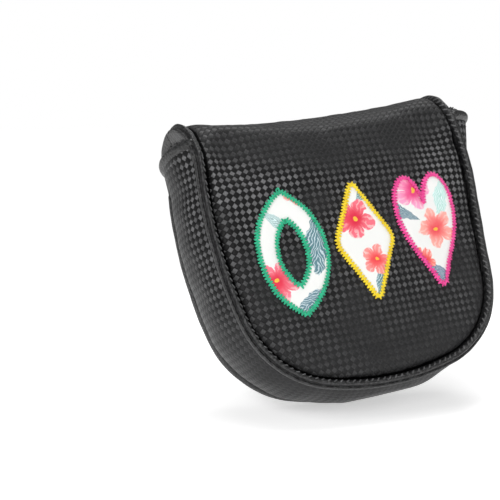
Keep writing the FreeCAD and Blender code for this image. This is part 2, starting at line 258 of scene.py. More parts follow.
def flat_mesh(line, spacing, rings=(0.9, 2.0, 3.4), holes=()):
    """Triangles that fill a closed outline: rings along its edge, and a hexagonal grid inside."""
    lines = [resample(line, spacing, closed=True)]
    lines += [resample(h, spacing, closed=True) for h in holes]
    low, high = lines[0].min(0), lines[0].max(0)
    rows = []
    for j in range(int((high[1] - low[1]) / (spacing * 0.866)) + 1):
        xs = np.arange(low[0] + (j % 2) * spacing / 2, high[0], spacing)
        rows.append(np.stack([xs, np.full(len(xs), low[1] + j * spacing * 0.866)], 1))
    grid = np.vstack(rows)

    def depth(p):
        d = np.min([edge_distance(p, one) for one in lines], axis=0)
        ok = inside(p, lines[0])
        for one in lines[1:]:
            ok &= ~inside(p, one)
        return np.where(ok, d, -1)

    last = rings[-1] if rings else 0.0
    grid = grid[depth(grid) > last + spacing * 0.55]
    kept = []
    for k, one in enumerate(lines):
        way = -1 if k == 0 else 1
        for d in rings:
            ring = one + outward_normals(one) * d * way
            ring = resample(ring, max(spacing, d) * 0.8, closed=True)
            kept.append(ring[depth(ring) > d * 0.96])
    points = np.vstack(lines + kept + [grid])
    edges = []
    start = 0
    for one in lines:
        n = len(one)
        edges += [(start + i, start + (i + 1) % n) for i in range(n)]
        start += n
    out = geometry.delaunay_2d_cdt([Vector(p) for p in points], edges, [], 0, 1e-5)
    verts = np.array([tuple(v) for v in out[0]])
    faces = [tuple(f) for f in out[2]]
    middle = np.array([verts[list(f)].mean(0) for f in faces])
    good = inside(middle, lines[0])
    for one in lines[1:]:
        good &= ~inside(middle, one)
    faces = [f for f, g in zip(faces, good) if g]
    used = np.unique(np.concatenate([np.array(f) for f in faces]))
    index = -np.ones(len(verts), int)
    index[used] = np.arange(len(used))
    return verts[used], [tuple(index[list(f)]) for f in faces]


# ---- making pieces ----
def link(name, data):
    """An object for the data, in the scene."""
    obj = bpy.data.objects.new(name, data)
    bpy.context.scene.collection.objects.link(obj)
    return obj


def piece(name, verts, faces, uv=None):
    """A mesh object from millimetre points; uv is in millimetres along the cloth, one pair a point."""
    mesh = bpy.data.meshes.new(name)
    mesh.from_pydata((np.asarray(verts) * MM).tolist(), [], [tuple(map(int, f)) for f in faces])
    mesh.update()
    if uv is not None:
        layer = mesh.uv_layers.new(name="cloth")
        loops = np.zeros(len(mesh.loops), np.int64)
        mesh.loops.foreach_get("vertex_index", loops)
        layer.data.foreach_set("uv", (np.asarray(uv)[loops] / 100.0).astype(np.float32).ravel())
    mesh.polygons.foreach_set("use_smooth", [True] * len(mesh.polygons))
    return link(name, mesh)


def apply_modifiers(obj):
    """Writes the modifiers' result into the mesh."""
    graph = bpy.context.evaluated_depsgraph_get()
    mesh = bpy.data.meshes.new_from_object(obj.evaluated_get(graph))
    obj.modifiers.clear()
    old = obj.data
    obj.data = mesh
    bpy.data.meshes.remove(old)


def coords(obj):
    co = np.zeros(len(obj.data.vertices) * 3, np.float32)
    obj.data.vertices.foreach_get("co", co)
    return co.reshape(-1, 3).astype(float) / MM


def set_coords(obj, points):
    obj.data.vertices.foreach_set("co", (points * MM).astype(np.float32).ravel())
    obj.data.update()


def subdivide(obj, levels=1):
    m = obj.modifiers.new("smooth", "SUBSURF")
    m.levels = m.render_levels = levels
    m.boundary_smooth = "PRESERVE_CORNERS"
    apply_modifiers(obj)


def face_up(verts, faces, normals):
    """Turns each face so that it looks the way of the given normals."""
    v = np.asarray(verts)
    f = np.array([(a[0], a[1], a[2]) for a in faces])
    n = np.cross(v[f[:, 1]] - v[f[:, 0]], v[f[:, 2]] - v[f[:, 0]])
    want = np.asarray(normals)[f[:, 0]]
    flip = (n * want).sum(1) < 0
    return [tuple(reversed(a)) if k else a for a, k in zip(faces, flip)]


def cloth_settle(obj, pinned, pressure, slack, cap, frames=18):
    """Lets a padded sheet swell between its pinned edges, then keeps at most cap mm of that move."""
    rest = coords(obj)
    group = obj.vertex_groups.new(name="held")
    for i, w in enumerate(pinned):
        if w > 0:
            group.add([i], float(w), "REPLACE")
    m = obj.modifiers.new("cloth", "CLOTH")
    s = m.settings
    s.vertex_group_mass = "held"
    s.quality = 6
    s.mass = 0.3
    s.tension_stiffness = s.compression_stiffness = 12
    s.shear_stiffness = 5
    s.bending_stiffness = 0.8
    s.use_pressure = True
    s.uniform_pressure_force = pressure
    s.shrink_min = -slack
    s.effector_weights.gravity = 0
    scene = bpy.context.scene
    for f in range(1, frames + 1):
        scene.frame_set(f)
    graph = bpy.context.evaluated_depsgraph_get()
    done = obj.evaluated_get(graph).to_mesh()
    co = np.zeros(len(done.vertices) * 3, np.float32)
    done.vertices.foreach_get("co", co)
    move = co.reshape(-1, 3).astype(float) / MM - rest
    obj.evaluated_get(graph).to_mesh_clear()
    obj.modifiers.clear()
    obj.vertex_groups.clear()
    scene.frame_set(1)
    size = np.linalg.norm(move, axis=1)
    move *= (np.minimum(size, cap) / np.maximum(size, 1e-9))[:, None]
    set_coords(obj, rest + move)


def sweep(path, out, up, profile, closed=False, cap=True):
    """Carries a closed profile of (outward, up) points along a path: points, faces, cloth lengths."""
    path, out, up = (np.asarray(a, float) for a in (path, out, up))
    prof = np.asarray(profile, float)
    n, k = len(path), len(prof)
    verts = path[:, None] + out[:, None] * prof[None, :, :1] + up[:, None] * prof[None, :, 1:]
    lengths = run_length(path)[:, None], run_length(prof)[None]
    uv = np.stack(np.broadcast_arrays(*lengths), -1).reshape(-1, 2)
    faces = []
    for i in range(n if closed else n - 1):
        j = (i + 1) % n
        for a in range(k):
            b = (a + 1) % k
            faces.append((i * k + a, i * k + b, j * k + b, j * k + a))
    if cap and not closed:
        faces.append(tuple(range(k))[::-1])
        faces.append(tuple((n - 1) * k + a for a in range(k)))
    return verts.reshape(-1, 3), faces, uv


def tangents(path):
    t = np.gradient(np.asarray(path, float), axis=0)
    return t / np.linalg.norm(t, axis=1)[:, None]


CAPSULE_RING = 6


def capsule(a, b, r, bulge=1.0):
    """A short thread between two points: thicker in the middle, rounded at its ends."""
    axis = b - a
    length = np.linalg.norm(axis)
    axis = axis / length
    side = np.cross(axis, [0.0, 0.0, 1.0] if abs(axis[2]) < 0.9 else [1.0, 0.0, 0.0])
    side = side / np.linalg.norm(side)
    other = np.cross(axis, side)
    stops = [(0.0, 0.35), (0.12, 0.8), (0.5, bulge), (0.88, 0.8), (1.0, 0.35)]
    turn = np.arange(CAPSULE_RING) * 2 * math.pi / CAPSULE_RING
    ring = np.cos(turn)[:, None] * side + np.sin(turn)[:, None] * other
    verts = np.vstack([a + axis * length * t + ring * r * k for t, k in stops])
    m = CAPSULE_RING
    faces = [
        (i * m + j, i * m + (j + 1) % m, (i + 1) * m + (j + 1) % m, (i + 1) * m + j)
        for i in range(len(stops) - 1) for j in range(m)
    ]
    faces += [tuple(range(m))[::-1], tuple((len(stops) - 1) * m + j for j in range(m))]
    return verts, faces


def threads(name, segments, r):
    """Many short threads joined as one piece."""
    verts, faces, start = [], [], 0
    for a, b in segments:
        v, f = capsule(np.asarray(a, float), np.asarray(b, float), r)
        verts.append(v)
        faces += [tuple(i + start for i in q) for q in f]
        start += len(v)
    return piece(name, np.vstack(verts), faces)


# ---- materials ----
class Graph:
    """A node material written as sums: each call adds a node and gives back its output."""

    def __init__(self, name):
        self.material = bpy.data.materials.new(name)
        self.material.use_nodes = True
        self.tree = self.material.node_tree
        self.tree.nodes.clear()
        self.out = self.tree.nodes.new("ShaderNodeOutputMaterial")
        self.shader = self.tree.nodes.new("ShaderNodeBsdfPrincipled")
        self.tree.links.new(self.shader.outputs[0], self.out.inputs[0])

    def put(self, socket, value):
        if isinstance(value, bpy.types.NodeSocket):
            self.tree.links.new(value, socket)
        elif value is not None:
            socket.default_value = value

    def set(self, **values):
        for key, value in values.items():
            self.put(self.shader.inputs[key.replace("_", " ")], value)

    def node(self, kind, *values, result=0, **props):
        n = self.tree.nodes.new(kind)
        for key, value in props.items():
            setattr(n, key, value)
        for socket, value in zip(n.inputs, values):
            self.put(socket, value)
        return n.outputs[result]

    def math(self, op, a, b=None, c=None):
        return self.node("ShaderNodeMath", a, b, c, operation=op)

    def add(self, a, b):
        return self.math("ADD", a, b)

    def sub(self, a, b):
        return self.math("SUBTRACT", a, b)

    def mul(self, a, b):
        return self.math("MULTIPLY", a, b)

    def mul_add(self, a, b, c):
        """a times b, plus c."""
        return self.math("MULTIPLY_ADD", a, b, c)

    def mix(self, t, a, b):
        return self.add(a, self.mul(t, self.sub(b, a)))

    def colour(self, t, a, b):
        n = self.tree.nodes.new("ShaderNodeMix")
        n.data_type = "RGBA"
        self.put(n.inputs[0], t)
        self.put(n.inputs[6], a)
        self.put(n.inputs[7], b)
        return n.outputs[2]

    def noise(self, vector, scale, detail=2.0, rough=0.5):
        n = self.tree.nodes.new("ShaderNodeTexNoise")
        self.put(n.inputs["Vector"], vector)
        n.inputs["Scale"].default_value = scale
        n.inputs["Detail"].default_value = detail
        n.inputs["Roughness"].default_value = rough
        return n.outputs["Fac"]

    def ramp(self, value, low, high):
        """0 below low, 1 above high."""
        n = self.tree.nodes.new("ShaderNodeMapRange")
        n.interpolation_type = "SMOOTHSTEP"
        self.put(n.inputs[0], value)
        n.inputs[1].default_value = low
        n.inputs[2].default_value = high
        return n.outputs[0]

    def bump(self, height, distance, strength=1.0, below=None):
        n = self.tree.nodes.new("ShaderNodeBump")
        n.inputs["Strength"].default_value = strength
        n.inputs["Distance"].default_value = distance
        self.put(n.inputs["Height"], height)
        if below is not None:
            self.put(n.inputs["Normal"], below)
        return n.outputs[0]

    def cloth_mm(self):
        """Place along the cloth, x and y in millimetres."""
        uv = self.node("ShaderNodeUVMap", uv_map="cloth")
        parts = self.split(uv)
        return self.mul(parts[0], 100.0), self.mul(parts[1], 100.0)

    def place(self):
        return self.node("ShaderNodeTexCoord", result=3)

    def split(self, vector):
        n = self.tree.nodes.new("ShaderNodeSeparateXYZ")
        self.put(n.inputs[0], vector)
        return n.outputs

    def vector(self, x, y, z=0.0):
        return self.node("ShaderNodeCombineXYZ", x, y, z)


def weave_leather(name="weave_leather", strip=False):
    """
    Black synthetic leather, embossed with a diagonal basket weave of small domed tiles, with painted
    highlight on alternate tiles and painted shade on the others. On the gusset strip the embossing and its
    painted highlight are clear next to the front seam and fade further back.
    """
    g = Graph(name)
    x, y = g.cloth_mm()
    flat = g.vector(x, y)
    wander = g.mul(g.sub(g.noise(flat, 0.09), 0.5), 0.45)
    k = 1 / (math.sqrt(2) * WEAVE_TILE)
    a = g.add(g.mul(g.add(x, y), k), wander)
    b = g.add(g.mul(g.sub(x, y), k), wander)
    ia, ib = g.math("FLOOR", a), g.math("FLOOR", b)
    fa, fb = g.math("FRACT", a), g.math("FRACT", b)
    odd = g.math("MODULO", g.math("ABSOLUTE", g.add(ia, ib)), 2.0)
    across = g.mix(odd, fb, fa)
    along = g.mix(odd, fa, fb)
    dome = g.math("POWER", g.math("SINE", g.mul(across, math.pi)), 0.4)
    near_a = g.math("MINIMUM", across, g.sub(1.0, across))
    near_b = g.math("MINIMUM", along, g.sub(1.0, along))
    from_edge = g.math("MINIMUM", near_a, near_b)
    crisp = g.ramp(from_edge, 0.02, 0.13)
    ridges = g.math("SINE", g.mul(across, 2 * math.pi * RIDGES))
    height = g.mul_add(ridges, 0.04, g.mul(dome, crisp))
    tone = g.node("ShaderNodeTexWhiteNoise", g.vector(ia, ib, 0.0), noise_dimensions="2D")
    # How strong the tiles' painted highlight and painted shade are: in broad patches, stronger higher up,
    # weaker on the crown, and on the strip strongest next to the front seam.
    broad = g.ramp(g.noise(flat, 0.03), 0.36, 0.6)
    highlight_by_height = g.ramp(g.split(g.place())[2], 0.012, 0.068)
    crown = g.mul_add(g.mul(x, x), 0.0045, g.sub(100.0, y))
    crown = g.math("MAXIMUM", g.ramp(crown, 8.0, 20.0), g.ramp(y, 132.0, 150.0))
    if strip:
        near = g.sub(1.0, g.ramp(y, 8.0, 18.0))
        contrast = g.mul(g.mul_add(near, 0.72, 0.06), highlight_by_height)
    else:
        contrast = g.mul(g.mul_add(broad, 0.75, 0.25), g.mul_add(highlight_by_height, 0.8, 0.2))
        contrast = g.mul(contrast, g.mul_add(crown, 0.75, 0.25))
    # Painted highlight: the odd tiles take a pale colour that stands in for the sheen of their fibres.
    lit = g.mul(g.mul(odd, contrast), g.mul_add(tone, 0.5, 0.6))
    lit = g.mul(lit, crisp)
    centre = g.mul(g.ramp(from_edge, 0.12, 0.4), g.mul_add(odd, 0.6, 0.4))
    spots = (0.0085, 0.0085, 0.0088, 1) if strip else (0.0032, 0.0032, 0.0034, 1)
    mottled = g.colour(centre, (0.0148, 0.0148, 0.0153, 1), spots)
    # Painted shade: the even tiles darken where the painted highlight is strong; the odd tiles take the
    # painted highlight's colour.
    dim = g.colour(g.ramp(contrast, 0.0, 0.7), mottled, (0.002, 0.002, 0.0022, 1))
    shade = g.colour(lit, dim, (0.115, 0.115, 0.118, 1))
    fleck = g.noise(flat, 1.5, 3.0, 0.7)
    paler = g.node("ShaderNodeVectorMath", shade, (1.7, 1.7, 1.7), operation="MULTIPLY")
    shade = g.colour(g.ramp(fleck, 0.3, 0.7), shade, paler)
    grain = g.noise(flat, 5.0, 3.0, 0.6)
    rough = g.mul_add(odd, -0.14, 0.5)
    rough = g.mul_add(grain, 0.1, rough)
    fine = g.bump(grain, 0.00004, 0.6)
    relief = g.mul(height, g.ramp(contrast, -0.1, 0.35)) if strip else height
    g.set(Base_Color=shade, Roughness=rough, Normal=g.bump(relief, 0.00026, 0.9, fine))
    g.set(Specular_IOR_Level=0.22)
    return g.material


def binding_leather(name="binding_leather"):
    """Smooth black synthetic leather with a fine pebble grain, and random paler patches of painted
    highlight where the grain catches light.
    """
    g = Graph(name)
    p = g.place()
    pebble = g.node("ShaderNodeTexVoronoi", p, None, 1300.0, feature="F1")
    soft = g.noise(p, 800.0, 3.0)
    # Painted highlight: paler patches stand in for light caught by the grain.
    grain_glint = g.ramp(g.noise(p, 900.0, 3.0, 0.65), 0.42, 0.68)
    shade = g.colour(grain_glint, (0.003, 0.003, 0.0033, 1), (0.036, 0.036, 0.037, 1))
    rough = g.mul_add(soft, 0.22, 0.26)
    grain = g.bump(pebble, 0.00025, 0.9)
    g.set(Base_Color=shade, Roughness=rough, Normal=g.bump(soft, 0.00012, 0.5, grain))
    g.set(Specular_IOR_Level=0.5)
    return g.material


def fleece(name="fleece"):
    """Black brushed fleece."""
    g = Graph(name)
    p = g.place()
    tuft = g.noise(p, 700.0, 4.0, 0.65)
    fibre = g.noise(p, 3200.0, 2.0, 0.6)
    shade = g.colour(g.ramp(tuft, 0.35, 0.7), (0.003, 0.003, 0.0035, 1), (0.016, 0.016, 0.017, 1))
    g.set(Base_Color=shade, Roughness=1.0,
          Normal=g.bump(fibre, 0.0003, 0.8, g.bump(tuft, 0.0009, 0.9)))
    g.set(Sheen_Weight=0.25, Sheen_Roughness=0.6)
    return g.material


def thread(name, colour, deep):
    """Lustrous embroidery thread; its tone drifts from stitch to stitch."""
    g = Graph(name)
    p = g.place()
    twist = g.noise(p, 2600.0, 2.0)
    drift = g.noise(p, 420.0, 2.0)
    shade = g.colour(g.ramp(g.mul_add(twist, 0.5, g.mul(drift, 0.5)), 0.35, 0.65),
                     (*deep, 1), (*colour, 1))
    g.set(Base_Color=shade, Roughness=g.mul_add(twist, 0.25, 0.38),
          Normal=g.bump(twist, 0.0001, 0.5))
    g.set(Sheen_Weight=0.15)
    return g.material


def petal_mask(g, x, y, cx, cy, r, lobes, phase):
    """Scalloped flower head: mask, distance from its middle as a share of r, and the angle."""
    dx, dy = g.sub(x, cx), g.sub(y, cy)
    dist = g.math("DIVIDE", g.math("SQRT", g.add(g.mul(dx, dx),
                                                  g.mul(dy, dy))), r)
    angle = g.math("ARCTAN2", dy, dx)
    wave = g.math("ABSOLUTE", g.math("COSINE", g.mul_add(angle, lobes / 2, phase)))
    limit = g.mul_add(g.math("POWER", wave, 0.55), 0.55, 0.45)
    gap = g.sub(limit, dist)
    return g.ramp(gap, 0.0, 0.06), dist, angle


def frond_mask(g, x, y, cx, cy, length, width, turn):
    """Long leaf: mask, and place across and along it."""
    c, s = math.cos(turn), math.sin(turn)
    dx, dy = g.sub(x, cx), g.sub(y, cy)
    u = g.math("DIVIDE", g.add(g.mul(dx, c), g.mul(dy, s)), length)
    v = g.math("DIVIDE", g.sub(g.mul(dy, c), g.mul(dx, s)), width)
    full = g.sub(1.0, g.mul(u, u))
    gap = g.sub(full, g.math("ABSOLUTE", v))
    return g.ramp(gap, 0.0, 0.1), u, v


FLOWERS = (
    # x, y, radius, petals, turn, outer colour, inner colour
    (-38, 47, 8.5, 5, 0.4, (0.93, 0.22, 0.30), (0.75, 0.02, 0.06)),
    (-24, 79, 4.5, 5, 1.1, (0.98, 0.45, 0.40), (0.9, 0.12, 0.1)),
    (-2, 66, 8.5, 5, 0.9, (0.93, 0.16, 0.22), (0.72, 0.01, 0.05)),
    (3, 49, 6.5, 5, 0.1, (0.95, 0.30, 0.28), (0.85, 0.05, 0.06)),
    (26, 74, 8.5, 5, 0.2, (0.95, 0.36, 0.58), (0.80, 0.03, 0.20)),
    (33, 58, 8.5, 5, 1.5, (0.98, 0.42, 0.36), (0.86, 0.07, 0.09)),
    (24, 46, 5.5, 5, 0.8, (0.96, 0.25, 0.2), (0.82, 0.04, 0.06)),
)
FRONDS = (
    # x, y, half length, half width, turn, colour
    (-19, 60, 14, 4.6, 1.35, (0.10, 0.22, 0.26)),
    (-24, 38, 10, 3.6, 0.35, (0.12, 0.23, 0.28)),
    (-34, 70, 10, 1.6, -0.8, (0.35, 0.50, 0.50)),
    (4, 40, 8, 3.6, 1.2, (0.12, 0.25, 0.29)),
    (6, 76, 7, 2.2, 0.5, (0.15, 0.30, 0.33)),
    (18, 66, 10, 2.6, -0.5, (0.09, 0.19, 0.24)),
    (38, 70, 9, 3.2, 1.3, (0.45, 0.72, 0.66)),
    (30, 40, 9, 2.4, -0.9, (0.09, 0.17, 0.26)),
)


def printed_cloth(name="printed_cloth"):
    """White cotton, printed with loose tropical flowers and fronds, with its own fine plain weave."""
    g = Graph(name)
    x, y = g.cloth_mm()
    wobble = g.noise(g.vector(x, y), 0.22, 3.0)
    wx = g.mul_add(g.sub(wobble, 0.5), 4.5, x)
    wy = g.mul_add(g.sub(g.noise(g.vector(y, x), 0.2, 3.0), 0.5), 4.5, y)
    shade = (0.86, 0.86, 0.84, 1)
    streak = g.noise(g.vector(wx, wy), 0.7, 3.0)
    shade = g.colour(g.mul(g.ramp(streak, 0.5, 0.8), 0.25), shade, (0.80, 0.86, 0.84, 1))
    for cx, cy, length, width, turn, tint in FRONDS:
        mask, u, v = frond_mask(g, wx, wy, cx, cy, length, width, turn)
        veins = g.math("SINE", g.mul(g.add(u, g.math("ABSOLUTE", v)), 26.0))
        light = tuple(min(1.0, 0.45 + t) for t in tint)
        leaf = g.colour(g.ramp(veins, 0.1, 0.9), (*tint, 1), (*light, 1))
        shade = g.colour(mask, shade, leaf)
    for cx, cy, r, lobes, phase, outer, inner in FLOWERS:
        mask, dist, angle = petal_mask(g, wx, wy, cx, cy, r, lobes, phase)
        fold = g.math("SINE", g.mul_add(streak, 7.0, g.mul(angle, 17.0)))
        petal = g.colour(g.ramp(dist, 0.1, 0.85), (*inner, 1), (*outer, 1))
        pale = g.mul(g.ramp(fold, 0.2, 1.0), g.mul(g.ramp(dist, 0.3, 0.9), 0.6))
        petal = g.colour(pale, petal, (1.0, 0.78, 0.74, 1))
        petal = g.colour(g.ramp(g.sub(0.13, dist), 0.0, 0.04), petal, (0.9, 0.5, 0.05, 1))
        shade = g.colour(mask, shade, petal)
    warp = g.math("SINE", g.mul(x, 2 * math.pi / 0.34))
    weft = g.math("SINE", g.mul(y, 2 * math.pi / 0.34))
    weave = g.mul(warp, weft)
    g.set(Base_Color=shade, Roughness=0.75, Normal=g.bump(weave, 0.00005, 0.5))
    g.set(Sheen_Weight=0.1)
    return g.material


def seam_shadow_leather(name="seam_shadow_leather"):
    """Painted shade for the crease beside a seam: the same leather made near black and dull."""
    g = Graph(name)
    speck = g.noise(g.place(), 900.0, 2.0)
    g.set(Base_Color=g.colour(speck, (0.0012, 0.0012, 0.0013, 1), (0.0028, 0.0028, 0.003, 1)),
          Roughness=g.mul_add(speck, 0.2, 0.7))
    g.set(Specular_IOR_Level=0.05)
    return g.material


def plated_metal(name="plated_metal"):
    g = Graph(name)
    mark = g.noise(g.place(), 500.0, 3.0)
    g.set(Base_Color=g.colour(mark, (0.5, 0.5, 0.52, 1), (0.68, 0.68, 0.7, 1)), Metallic=1.0,
          Roughness=g.mul_add(mark, 0.2, 0.2))
    return g.material


def studio_floor(name="studio_floor"):
    """White paper that takes a shadow near the cover; seen from beneath it lets the view through."""
    g = Graph(name)
    place = g.place()
    far = g.ramp(g.node("ShaderNodeVectorMath", place, operation="LENGTH", result=1), 0.1, 0.45)
    speck = g.noise(place, 40.0, 2.0)
    paper = g.colour(speck, (0.86, 0.86, 0.86, 1), (0.89, 0.89, 0.89, 1))
    glow = g.colour(far, (0.5, 0.5, 0.5, 1), (1, 1, 1, 1))
    g.set(Base_Color=g.colour(far, paper, (0.05, 0.05, 0.05, 1)), Roughness=0.6, Emission_Color=glow)
    g.set(Emission_Strength=1.0, Specular_IOR_Level=0.0)
    back = g.node("ShaderNodeNewGeometry", result=6)
    clear = g.node("ShaderNodeBsdfTransparent")
    both = g.node("ShaderNodeMixShader", back, g.shader.outputs[0], clear)
    g.put(g.out.inputs[0], both)
    return g.material


WEAVE = weave_leather()
WEAVE_STRIP = weave_leather("weave_leather_strip", True)
BINDING = binding_leather()
FLEECE = fleece()
PRINT = printed_cloth()
METAL = plated_metal()
# Painted shade for the creases beside the seams.
SEAM_SHADOW = seam_shadow_leather()
# Painted highlight: the black thread is coloured grey, lighter than black, so that its stitches read as
# catching light.
BLACK_THREAD = thread("black_thread", (0.13, 0.13, 0.133), (0.04, 0.04, 0.041))
GREEN_THREAD = thread("green_thread", (0.01, 0.5, 0.26), (0.0, 0.32, 0.16))
YELLOW_THREAD = thread("yellow_thread", (0.93, 0.74, 0.01), (0.75, 0.52, 0.0))
PINK_THREAD = thread("pink_thread", (0.92, 0.08, 0.36), (0.68, 0.02, 0.22))


def slump(v):
    """Unevenness of the empty cover: toe side drawn in, crown flared and raised, foot leaning in."""
    x, y, z = v[:, 0], v[:, 1], v[:, 2]
    toe = smooth((x + 10.0) / 60.0)
    waist = np.exp(-((z - 55.0) / 27.0) ** 2)
    flare = smooth((z - 97.0) / 17.0)
    foot = smooth((42.0 - z) / 38.0) * smooth((y + 22.0) / 40.0)
    return np.stack([x - WAIST_IN * toe * waist + CROWN_OUT * flare * x / 56.0, y - FOOT_IN * foot,
                     z + flare * (CROWN_UP + TOE_UP * toe)], 1)


def finish_piece(obj, material, body, slot, *nodes):
    """Slumps a piece unless it is an emblem, gives it its material, attaches it to its body when that is a
    single body, and hides the CAD nodes that it stands for.
    """
    if not obj.name.startswith("emblem"):
        set_coords(obj, slump(coords(obj)))
    obj.data.materials.clear()
    obj.data.materials.append(material)
    if isinstance(body, str):
        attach(obj, body)
    else:
        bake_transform(obj)
    if nodes:
        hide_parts(*nodes)
    return obj


FRONT_FOLD = ("pocket", "crown", (0, -22.0 * MM, 96.0 * MM), (0, -17.0 * MM, 108.0 * MM))
BACK_FOLD = ("crown", "flap", (0, 18.0 * MM, 108.5 * MM), (0, 22.5 * MM, 97.5 * MM))


# ---- padded panels ----
def side_x(s):
    """Half width of the panel between its bound edges, by length along it from the bottom."""
    z = np.minimum(s, 110.0)
    seam = C_SIDE[0] + np.sqrt(R_SIDE ** 2 - (z - C_SIDE[1]) ** 2)
    return seam + (GROOVE_HALF - seam) * smooth((s - 108) / 14)


def grow(top, d):
    """Straight run of a side from the crown's apex down to the line's first point."""
    s = np.linspace(APEX, top, 12)
    return np.stack([side_x(s) + d, s], 1)


def front_line(d, top=APEX):
    half = chain(grow(106, d), seam_half(d, 105.5))
    half[:, 1] = np.where(half[:, 1] >= APEX - 0.01, top, half[:, 1])
    return mirrored(half)


def flap_line(d, top=APEX):
    """Outline of the rear half of the crown and the flap, in x and length along the panel."""
    edge = tongue_half(RIM_WIDTH - d)
    edge = np.stack([edge[:, 0], OVER + CROWN_Z - edge[:, 1]], 1)
    return mirrored(chain(np.array([[GROOVE_HALF + d, top]]), edge))


def quilted(d, depth, bite):
    """Rise of a padded panel above its sewn edge, by distance from the edge."""
    return -depth * np.exp(-d / bite)


def wrapped_panel(name, line, long_line, spacing, slack, pressure, cap, sag, bend=0.0):
    """
    A padded sheet laid over front and crown, or over crown and back, and left to swell. The sag is
    the droop of the crown's middle, and the bend is the hollow where the crown starts.
    """
    flat, faces = flat_mesh(line, spacing)
    x, s = flat[:, 0], flat[:, 1]
    d = edge_distance(flat, resample(long_line, 1.0, closed=True))
    seam_depth = 4.6 - 2.8 * smooth((s - 88.0) / 12.0)        # shallower where the crown begins
    h = quilted(d, seam_depth, 2.0) + 0.95
    h = h - bend * np.exp(-((s - 99.0) / 6.5) ** 2) * smooth(d / 12.0)
    droop = smooth(1 - np.abs(s - APEX) / 30.0) * (1 - (x / GROOVE_HALF) ** 2)
    h = h - sag * np.maximum(droop, 0)
    normals = wrap_normal(s)
    verts = wrapped(x, s, h)
    faces = face_up(verts, faces, normals)
    obj = piece(name, verts, faces, flat)
    on_top = np.abs(s - APEX) < 0.01
    pinned = np.where(d < 0.6, 1.0, 0.12 * np.exp(-d / 5.0))
    pinned = np.where(on_top, 1.0, pinned)
    cloth_settle(obj, pinned, pressure, slack, cap)
    subdivide(obj, 2)
    return obj


def shade_seam(obj, line, reach):
    """Painted shade: dull, near-black leather on the faces in the crease beside a bound edge."""
    mesh = obj.data
    uv = np.zeros(len(mesh.loops) * 2, np.float32)
    mesh.uv_layers["cloth"].data.foreach_get("uv", uv)
    uv = uv.reshape(-1, 2) * 100.0
    start, count = np.zeros(len(mesh.polygons), int), np.zeros(len(mesh.polygons), int)
    mesh.polygons.foreach_get("loop_start", start)
    mesh.polygons.foreach_get("loop_total", count)
    middle = np.add.reduceat(uv, start, axis=0) / count[:, None]
    d = edge_distance(middle, resample(line, 1.0, closed=True))
    mesh.materials.append(SEAM_SHADOW)
    mesh.polygons.foreach_set("material_index", (d < reach).astype(np.int32))


def front_cover():
    """Front panel and front half of the crown: one padded piece of embossed leather."""
    long_line = front_line(-FRONT_INSET, APEX + PAST_APEX)
    obj = wrapped_panel("front_cover_skin", front_line(-FRONT_INSET), long_line, spacing=2.6, slack=0.012,
                        pressure=1.2, cap=1.8, sag=1.7, bend=1.3)
    finish_piece(obj, WEAVE, FRONT_FOLD, "weave_leather", "front_outer_panel", "front_foam_pad",
                 "crown_outer", "crown_foam")
    shade_seam(obj, long_line, 1.25)
    return obj


def rear_flap():
    """Rear half of the crown and the two-tongued flap."""
    long_line = flap_line(-FLAP_INSET).copy()
    long_line[:, 1] = np.where(long_line[:, 1] < APEX + 0.01, APEX - PAST_APEX, long_line[:, 1])
    obj = wrapped_panel("flap_skin", flap_line(-FLAP_INSET), long_line, spacing=2.4, slack=0.01,
                        pressure=1.0, cap=1.2, sag=1.7)
    finish_piece(obj, WEAVE, BACK_FOLD, "weave_leather", "flap_outer", "flap_foam")
    shade_seam(obj, long_line, 0.8)
    return obj


def back_panel():
    """Back panel below the scooped shaft opening; it swells where the tongues leave it free."""
    top = mirrored(scoop_half(RIM_WIDTH))
    side = seam_line(-0.4, top[0, 1])
    line = chain(top, side[::-1])
    flat, faces = flat_mesh(line, 2.4)
    x, z = flat[:, 0], flat[:, 1]
    d = edge_distance(flat, resample(line, 1.0, closed=True))
    free = smooth((40.0 - z) / 14.0)
    between = smooth((62.0 - z) / 8.0) * smooth((13.0 - np.abs(x)) / 9.0)
    ripple = 0.22 * np.sin(x * 0.13 + 0.6) * np.sin(z * 0.11 + 1.0)
    h = quilted(d, 1.9, 2.2) + 2.3 * free * smooth(d / 12.0) + 0.9 * between + ripple
    verts = np.stack([x, BACK_FACE + h, z], 1)
    faces = face_up(verts, faces, np.tile([0.0, 1.0, 0.0], (len(verts), 1)))
    obj = piece("back_panel_skin", verts, faces, flat)
    subdivide(obj, 1)
    finish_piece(obj, WEAVE, "pocket", "weave_leather", "back_outer_panel", "back_foam_pad")
    return obj


# ---- gusset ----
def seam_frames(top, step):
    """Points of the seam line from toe to heel, with their outward directions and lengths."""
    line = resample(seam_line(0, top), step)
    t = tangents(line)
    n = np.stack([t[:, 1], -t[:, 0]], 1)
    outward = (n * (line - [0.0, SEAM_CENTRE_Z])).sum(1)
    n *= np.where(outward < 0, -1, 1)[:, None]
    return line, n, run_length(line)


def gusset_point(px, pz, nx, nz, q, depth, crease=0.0):
    """A point of the gusset: q runs 0 to 1 from front seam to back seam, depth is inward."""
    flare = np.where(px > 0, TOE_FLARE * smooth((pz - 62.0) / 38.0),
                     HEEL_FLARE * smooth((pz - 74.0) / 26.0))
    b = np.interp(pz, BULGE_Z, BULGE) + flare
    mid = (GUSSET_FRONT + GUSSET_BACK) / 2
    half = (GUSSET_BACK - GUSSET_FRONT) / 2
    c = 2 * q - 1
    off = 0.8 + (b - 0.8) * (1 - np.abs(c) ** 2.2) - depth * (1 + 0.25 * np.abs(c)) + crease
    return np.stack(np.broadcast_arrays(px + nx * off, mid + half * c, pz + nz * off), -1)


